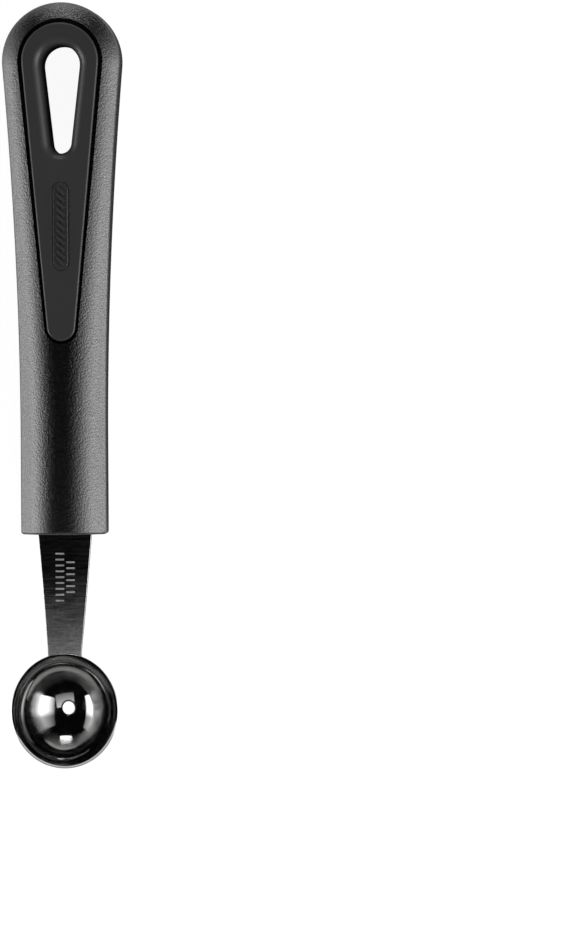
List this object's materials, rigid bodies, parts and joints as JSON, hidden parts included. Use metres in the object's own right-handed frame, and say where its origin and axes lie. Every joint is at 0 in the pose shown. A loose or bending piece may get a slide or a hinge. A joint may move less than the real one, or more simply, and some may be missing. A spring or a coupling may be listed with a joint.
{
  "type": "melon baller",
  "caption": "Hand tool for scooping balls of melon: polished steel bowl with a drain hole on a flat tapered shank, in a moulded handle with soft inlays and a hanging loop.",
  "frame": {"origin": "under the middle of the whole tool, on the plane it lies on", "axes": "+Z out of the open bowl, +Y from the bowl to the hanging loop, X across the handle"},
  "size_m": [0.0274, 0.1779, 0.0155],
  "materials": {
    "polished_steel": "mirror polished stainless steel",
    "strip_steel": "ground stainless strip with fine crosswise lines",
    "core_plastic": "plain moulded",
    "shell_plastic": "satin, finely grained",
    "inlay_rubber": "matte soft-touch"
  },
  "bodies": {
    "root": {"scoop_bowl": "polished_steel", "weld_bead": "strip_steel", "shank": "strip_steel", "tang_pin": "strip_steel", "handle_core": "core_plastic", "handle_shell": "shell_plastic", "front_inlay": "inlay_rubber", "rear_inlay": "inlay_rubber"}
  },
  "joints": []
}
